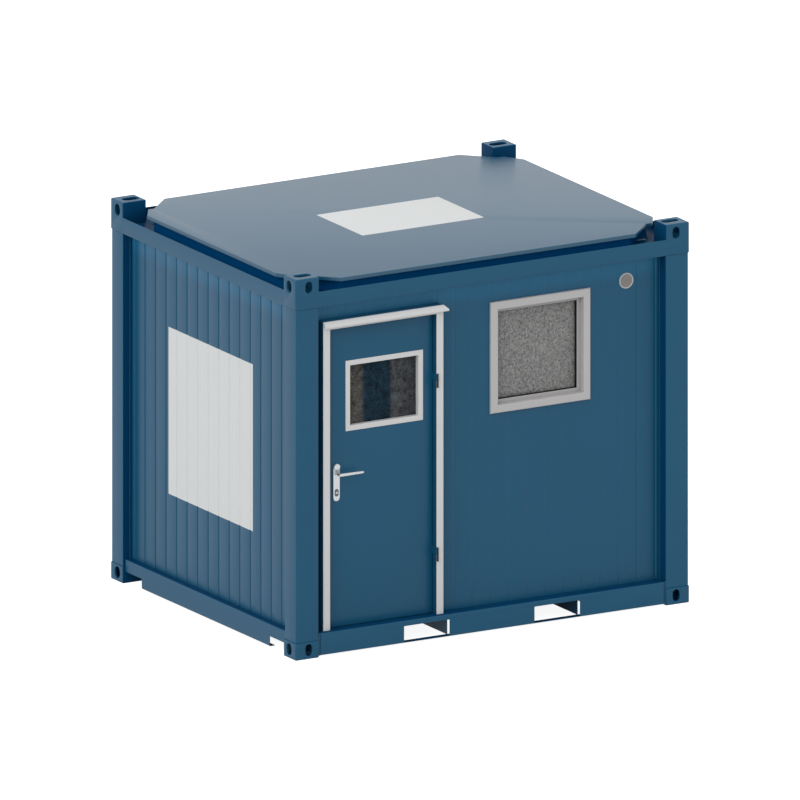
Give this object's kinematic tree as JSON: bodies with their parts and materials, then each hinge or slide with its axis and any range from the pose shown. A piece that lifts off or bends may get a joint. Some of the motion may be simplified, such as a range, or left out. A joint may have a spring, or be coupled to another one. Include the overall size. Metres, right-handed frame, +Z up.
{
  "type": "sanitary module",
  "caption": "Steel-framed sanitary cabin with grooved walls, glazed entrance door, tilt window, toilet and shower cubicles, washbasin, fork pockets and stacking corners.",
  "frame": {"origin": "centre of the footprint at the underside of the bottom castings", "axes": "+X along the long side to the right as seen from the entrance, +Y from the entrance side to the rear, +Z up"},
  "size_m": [2.989, 2.435, 2.591],
  "materials": {
    "frame_paint": "semi-gloss deep blue paint",
    "wall_paint": "semi-gloss deep blue coil coating",
    "roof_coating": "semi-gloss deep blue coating",
    "door_profile": "light grey powder coat",
    "galvanised": "galvanised sheet",
    "satin_steel": "satin",
    "window_profile": "smooth plastic profile",
    "obscured_glass": "obscured, fine grain",
    "white_plastic": "smooth",
    "lining_board": "white laminated board",
    "floor_covering": "board with grey vinyl covering",
    "ceramic": "glazed white",
    "chrome_fitting": "polished",
    "vent_plastic": "light grey"
  },
  "bodies": {
    "module": {"basin_tap": "chrome_fitting", "ceiling_panel": "lining_board", "corner_post_front_left": "frame_paint", "corner_post_front_right": "frame_paint", "corner_post_rear_left": "frame_paint", "corner_post_rear_right": "frame_paint", "cubicle_partition": "lining_board", "door_drip_cap": "door_profile", "door_frame": "door_profile", "fan_housing": "white_plastic", "floor_deck": "floor_covering", "floor_rail_front": "frame_paint", "floor_rail_left": "frame_paint", "floor_rail_rear": "frame_paint", "floor_rail_right": "frame_paint", "fork_pocket_left": "galvanised", "fork_pocket_right": "galvanised", "hinge_pin_lower": "satin_steel", "hinge_pin_upper": "satin_steel", "roof_cover": "roof_coating", "roof_rail_front": "frame_paint", "roof_rail_left": "frame_paint", "roof_rail_rear": "frame_paint", "roof_rail_right": "frame_paint", "shower_mixer": "chrome_fitting", "shower_tray": "ceramic", "toilet_cistern": "ceramic", "toilet_pan": "ceramic", "underfloor_tray": "galvanised", "vent_cover": "vent_plastic", "wall_panel_front": "wall_paint", "wall_panel_left": "wall_paint", "wall_panel_rear": "wall_paint", "wall_panel_right": "wall_paint", "washbasin": "ceramic", "water_heater": "white_plastic", "window_frame": "window_profile"},
    "entrance_door": {"door_leaf": "wall_paint", "door_glazing_frame": "door_profile", "door_pane": "obscured_glass", "handle_plate_outer": "satin_steel", "handle_plate_inner": "satin_steel", "lock_case": "galvanised", "lock_cylinder": "satin_steel"},
    "door_levers": {"door_lever_outer": "satin_steel", "door_lever_inner": "satin_steel"},
    "latch": {"latch_bolt": "satin_steel"},
    "dead_bolt": {"deadbolt": "satin_steel"},
    "key_plug": {"lock_plug": "satin_steel"},
    "tilt_sash": {"window_sash": "window_profile", "window_pane": "obscured_glass"},
    "window_catch": {"window_handle": "white_plastic"},
    "fan_rotor": {"fan_impeller": "white_plastic"},
    "wc_door_leaf": {"wc_door": "lining_board"},
    "shower_door_leaf": {"shower_door": "lining_board"},
    "flush_push": {"flush_button": "chrome_fitting"},
    "seat": {"toilet_seat": "white_plastic"},
    "lid": {"toilet_lid": "white_plastic"},
    "basin_lever": {"basin_tap_lever": "chrome_fitting"},
    "shower_lever": {"shower_mixer_lever": "chrome_fitting"}
  },
  "joints": [
    {"name": "entrance_door_swing", "type": "hinge", "parent": "module", "child": "entrance_door", "pos_m": [-0.4045, -1.1955, 1.17], "axis": [0, 0, 1], "range_deg": [0, 110]},
    {"name": "door_lever_turn", "type": "hinge", "parent": "entrance_door", "child": "door_levers", "pos_m": [-1.1425, -1.1175, 1.213], "axis": [0, 1, 0], "range_deg": [0, 40], "stiffness_Nm_per_rad": 3, "springref_deg": -22.92},
    {"name": "latch_slide", "type": "slide", "parent": "entrance_door", "child": "latch", "axis": [1, 0, 0], "range_m": [0, 0.012]},
    {"name": "key_turn", "type": "hinge", "parent": "entrance_door", "child": "key_plug", "pos_m": [-1.1425, -1.1488, 1.083], "axis": [0, 1, 0], "range_deg": [0, 360]},
    {"name": "deadbolt_slide", "type": "slide", "parent": "entrance_door", "child": "dead_bolt", "axis": [-1, 0, 0], "range_m": [0, 0.012]},
    {"name": "window_tilt", "type": "hinge", "parent": "module", "child": "tilt_sash", "pos_m": [0.4105, -1.046, 1.501], "axis": [-1, 0, 0], "range_deg": [0, 15]},
    {"name": "window_handle_turn", "type": "hinge", "parent": "tilt_sash", "child": "window_catch", "pos_m": [0.4105, -1.046, 2.1615], "axis": [0, 1, 0], "range_deg": [0, 90]},
    {"name": "fan_spin", "type": "hinge", "parent": "module", "child": "fan_rotor", "pos_m": [1.0685, -1.0475, 2.226], "axis": [0, 1, 0], "continuous": true},
    {"name": "wc_door_swing", "type": "hinge", "parent": "module", "child": "wc_door_leaf", "pos_m": [-0.141, -0.1175, 1.16], "axis": [0, 0, -1], "range_deg": [0, 95]},
    {"name": "shower_door_swing", "type": "hinge", "parent": "module", "child": "shower_door_leaf", "pos_m": [-0.141, 0.1825, 1.16], "axis": [0, 0, 1], "range_deg": [0, 95]},
    {"name": "flush_press", "type": "slide", "parent": "module", "child": "flush_push", "axis": [0, 0, -1], "range_m": [0, 0.006], "stiffness_N_per_m": 300, "springref_m": -0.01},
    {"name": "seat_lift", "type": "hinge", "parent": "module", "child": "seat", "pos_m": [1.0955, -0.5575, 0.5836], "axis": [0, 1, 0], "range_deg": [0, 95]},
    {"name": "lid_close", "type": "hinge", "parent": "module", "child": "lid", "pos_m": [1.0955, -0.5575, 0.5836], "axis": [0, -1, 0], "range_deg": [0, 100]},
    {"name": "basin_lever_turn", "type": "hinge", "parent": "module", "child": "basin_lever", "pos_m": [-1.3092, 0.3825, 1.126], "axis": [0, 0, 1], "range_deg": [0, 90]},
    {"name": "shower_lever_turn", "type": "hinge", "parent": "module", "child": "shower_lever", "pos_m": [1.3092, 0.5222, 1.25], "axis": [0, -1, 0], "range_deg": [0, 90]}
  ],
  "couplings": [
    {"joint": "latch_slide", "follows": "door_lever_turn", "m_per_rad": 0.017},
    {"joint": "key_turn", "follows": "deadbolt_slide", "rad_per_m": 523.59}
  ]
}
